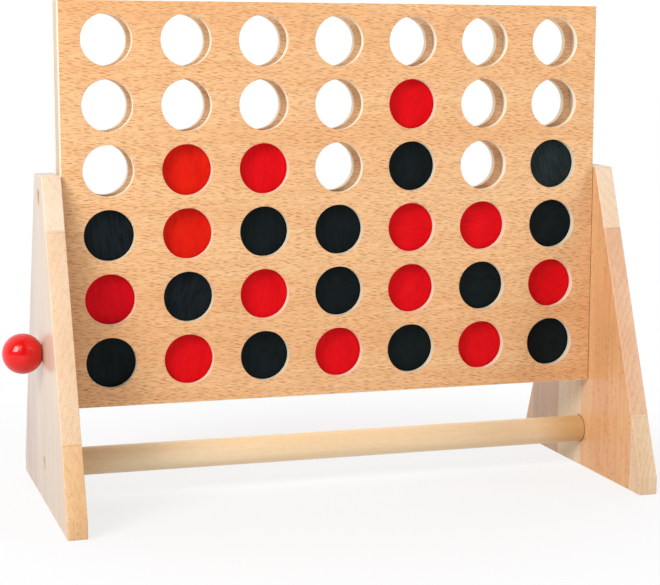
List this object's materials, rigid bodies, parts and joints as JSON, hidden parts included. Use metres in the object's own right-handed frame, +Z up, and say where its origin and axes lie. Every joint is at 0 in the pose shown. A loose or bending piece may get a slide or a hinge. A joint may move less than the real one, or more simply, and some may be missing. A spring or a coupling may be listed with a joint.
{
  "type": "four in a row frame",
  "caption": "Upright wooden grid board with round sight holes, hung on pivots between two tapered side panels, with a crossbar, a ball-knob lock and coloured discs standing in its columns.",
  "frame": {"origin": "middle of the whole object's footprint, at the height of the feet; the ball knob stands out on the left only, so the board's middle lies 12.2 mm to the right of it", "axes": "+X along the board from the knob's end to the other, +Y from the front panel to the back panel, +Z up"},
  "size_m": [0.4056, 0.187, 0.3133],
  "materials": {
    "beech_plywood": "satin",
    "glued_beech": "satin",
    "plain_strip_wood": "sanded",
    "dowel_wood": "satin",
    "red_stained_wood": "stained, satin",
    "black_stained_wood": "stained, satin",
    "red_lacquer": "gloss lacquer",
    "zinc_steel": "zinc plated",
    "insert_brass": "machined",
    "spacer_plastic": "matte"
  },
  "bodies": {
    "stand": {"side_panel_left": "glued_beech", "side_panel_right": "glued_beech", "crossbar": "dowel_wood", "crossbar_screw_left": "zinc_steel", "crossbar_screw_right": "zinc_steel"},
    "board": {"front_panel": "beech_plywood", "back_panel": "beech_plywood", "end_strip_left": "plain_strip_wood", "end_strip_right": "plain_strip_wood", "divider_1": "plain_strip_wood", "divider_2": "plain_strip_wood", "divider_3": "plain_strip_wood", "divider_4": "plain_strip_wood", "divider_5": "plain_strip_wood", "divider_6": "plain_strip_wood", "bottom_rail": "plain_strip_wood", "pivot_insert_left": "insert_brass", "pivot_insert_right": "insert_brass", "pivot_bolt_left": "zinc_steel", "pivot_bolt_right": "zinc_steel", "pivot_washer_left": "spacer_plastic", "pivot_washer_right": "spacer_plastic"},
    "lock": {"lock_pin": "dowel_wood", "lock_knob": "red_lacquer"},
    "disc_c1_r6": {"black_disc_c1_r6": "black_stained_wood"},
    "disc_c1_r5": {"red_disc_c1_r5": "red_stained_wood"},
    "disc_c1_r4": {"black_disc_c1_r4": "black_stained_wood"},
    "disc_c2_r6": {"red_disc_c2_r6": "red_stained_wood"},
    "disc_c2_r5": {"black_disc_c2_r5": "black_stained_wood"},
    "disc_c2_r4": {"red_disc_c2_r4": "red_stained_wood"},
    "disc_c2_r3": {"red_disc_c2_r3": "red_stained_wood"},
    "disc_c3_r6": {"black_disc_c3_r6": "black_stained_wood"},
    "disc_c3_r5": {"red_disc_c3_r5": "red_stained_wood"},
    "disc_c3_r4": {"black_disc_c3_r4": "black_stained_wood"},
    "disc_c3_r3": {"red_disc_c3_r3": "red_stained_wood"},
    "disc_c4_r6": {"red_disc_c4_r6": "red_stained_wood"},
    "disc_c4_r5": {"black_disc_c4_r5": "black_stained_wood"},
    "disc_c4_r4": {"black_disc_c4_r4": "black_stained_wood"},
    "disc_c5_r6": {"black_disc_c5_r6": "black_stained_wood"},
    "disc_c5_r5": {"red_disc_c5_r5": "red_stained_wood"},
    "disc_c5_r4": {"red_disc_c5_r4": "red_stained_wood"},
    "disc_c5_r3": {"black_disc_c5_r3": "black_stained_wood"},
    "disc_c5_r2": {"red_disc_c5_r2": "red_stained_wood"},
    "disc_c6_r6": {"red_disc_c6_r6": "red_stained_wood"},
    "disc_c6_r5": {"black_disc_c6_r5": "black_stained_wood"},
    "disc_c6_r4": {"red_disc_c6_r4": "red_stained_wood"},
    "disc_c7_r6": {"black_disc_c7_r6": "black_stained_wood"},
    "disc_c7_r5": {"red_disc_c7_r5": "red_stained_wood"},
    "disc_c7_r4": {"black_disc_c7_r4": "black_stained_wood"},
    "disc_c7_r3": {"black_disc_c7_r3": "black_stained_wood"}
  },
  "joints": [
    {"name": "board_spin", "type": "hinge", "parent": "stand", "child": "board", "pos_m": [0.01225, 0, 0.1933], "axis": [1, 0, 0], "continuous": true},
    {"name": "lock_pull", "type": "slide", "parent": "stand", "child": "lock", "axis": [-1, 0, 0], "range_m": [0, 0.025]},
    {"name": "lift_c1_r6", "type": "slide", "parent": "board", "child": "disc_c1_r6", "axis": [0, 0, 1], "range_m": [0, 0.24]},
    {"name": "lift_c1_r5", "type": "slide", "parent": "disc_c1_r6", "child": "disc_c1_r5", "axis": [0, 0, 1], "range_m": [0, 0.2]},
    {"name": "lift_c1_r4", "type": "slide", "parent": "disc_c1_r5", "child": "disc_c1_r4", "axis": [0, 0, 1], "range_m": [0, 0.16]},
    {"name": "lift_c2_r6", "type": "slide", "parent": "board", "child": "disc_c2_r6", "axis": [0, 0, 1], "range_m": [0, 0.24]},
    {"name": "lift_c2_r5", "type": "slide", "parent": "disc_c2_r6", "child": "disc_c2_r5", "axis": [0, 0, 1], "range_m": [0, 0.2]},
    {"name": "lift_c2_r4", "type": "slide", "parent": "disc_c2_r5", "child": "disc_c2_r4", "axis": [0, 0, 1], "range_m": [0, 0.16]},
    {"name": "lift_c2_r3", "type": "slide", "parent": "disc_c2_r4", "child": "disc_c2_r3", "axis": [0, 0, 1], "range_m": [0, 0.12]},
    {"name": "lift_c3_r6", "type": "slide", "parent": "board", "child": "disc_c3_r6", "axis": [0, 0, 1], "range_m": [0, 0.24]},
    {"name": "lift_c3_r5", "type": "slide", "parent": "disc_c3_r6", "child": "disc_c3_r5", "axis": [0, 0, 1], "range_m": [0, 0.2]},
    {"name": "lift_c3_r4", "type": "slide", "parent": "disc_c3_r5", "child": "disc_c3_r4", "axis": [0, 0, 1], "range_m": [0, 0.16]},
    {"name": "lift_c3_r3", "type": "slide", "parent": "disc_c3_r4", "child": "disc_c3_r3", "axis": [0, 0, 1], "range_m": [0, 0.12]},
    {"name": "lift_c4_r6", "type": "slide", "parent": "board", "child": "disc_c4_r6", "axis": [0, 0, 1], "range_m": [0, 0.24]},
    {"name": "lift_c4_r5", "type": "slide", "parent": "disc_c4_r6", "child": "disc_c4_r5", "axis": [0, 0, 1], "range_m": [0, 0.2]},
    {"name": "lift_c4_r4", "type": "slide", "parent": "disc_c4_r5", "child": "disc_c4_r4", "axis": [0, 0, 1], "range_m": [0, 0.16]},
    {"name": "lift_c5_r6", "type": "slide", "parent": "board", "child": "disc_c5_r6", "axis": [0, 0, 1], "range_m": [0, 0.24]},
    {"name": "lift_c5_r5", "type": "slide", "parent": "disc_c5_r6", "child": "disc_c5_r5", "axis": [0, 0, 1], "range_m": [0, 0.2]},
    {"name": "lift_c5_r4", "type": "slide", "parent": "disc_c5_r5", "child": "disc_c5_r4", "axis": [0, 0, 1], "range_m": [0, 0.16]},
    {"name": "lift_c5_r3", "type": "slide", "parent": "disc_c5_r4", "child": "disc_c5_r3", "axis": [0, 0, 1], "range_m": [0, 0.12]},
    {"name": "lift_c5_r2", "type": "slide", "parent": "disc_c5_r3", "child": "disc_c5_r2", "axis": [0, 0, 1], "range_m": [0, 0.08]},
    {"name": "lift_c6_r6", "type": "slide", "parent": "board", "child": "disc_c6_r6", "axis": [0, 0, 1], "range_m": [0, 0.24]},
    {"name": "lift_c6_r5", "type": "slide", "parent": "disc_c6_r6", "child": "disc_c6_r5", "axis": [0, 0, 1], "range_m": [0, 0.2]},
    {"name": "lift_c6_r4", "type": "slide", "parent": "disc_c6_r5", "child": "disc_c6_r4", "axis": [0, 0, 1], "range_m": [0, 0.16]},
    {"name": "lift_c7_r6", "type": "slide", "parent": "board", "child": "disc_c7_r6", "axis": [0, 0, 1], "range_m": [0, 0.24]},
    {"name": "lift_c7_r5", "type": "slide", "parent": "disc_c7_r6", "child": "disc_c7_r5", "axis": [0, 0, 1], "range_m": [0, 0.2]},
    {"name": "lift_c7_r4", "type": "slide", "parent": "disc_c7_r5", "child": "disc_c7_r4", "axis": [0, 0, 1], "range_m": [0, 0.16]},
    {"name": "lift_c7_r3", "type": "slide", "parent": "disc_c7_r4", "child": "disc_c7_r3", "axis": [0, 0, 1], "range_m": [0, 0.12]}
  ]
}
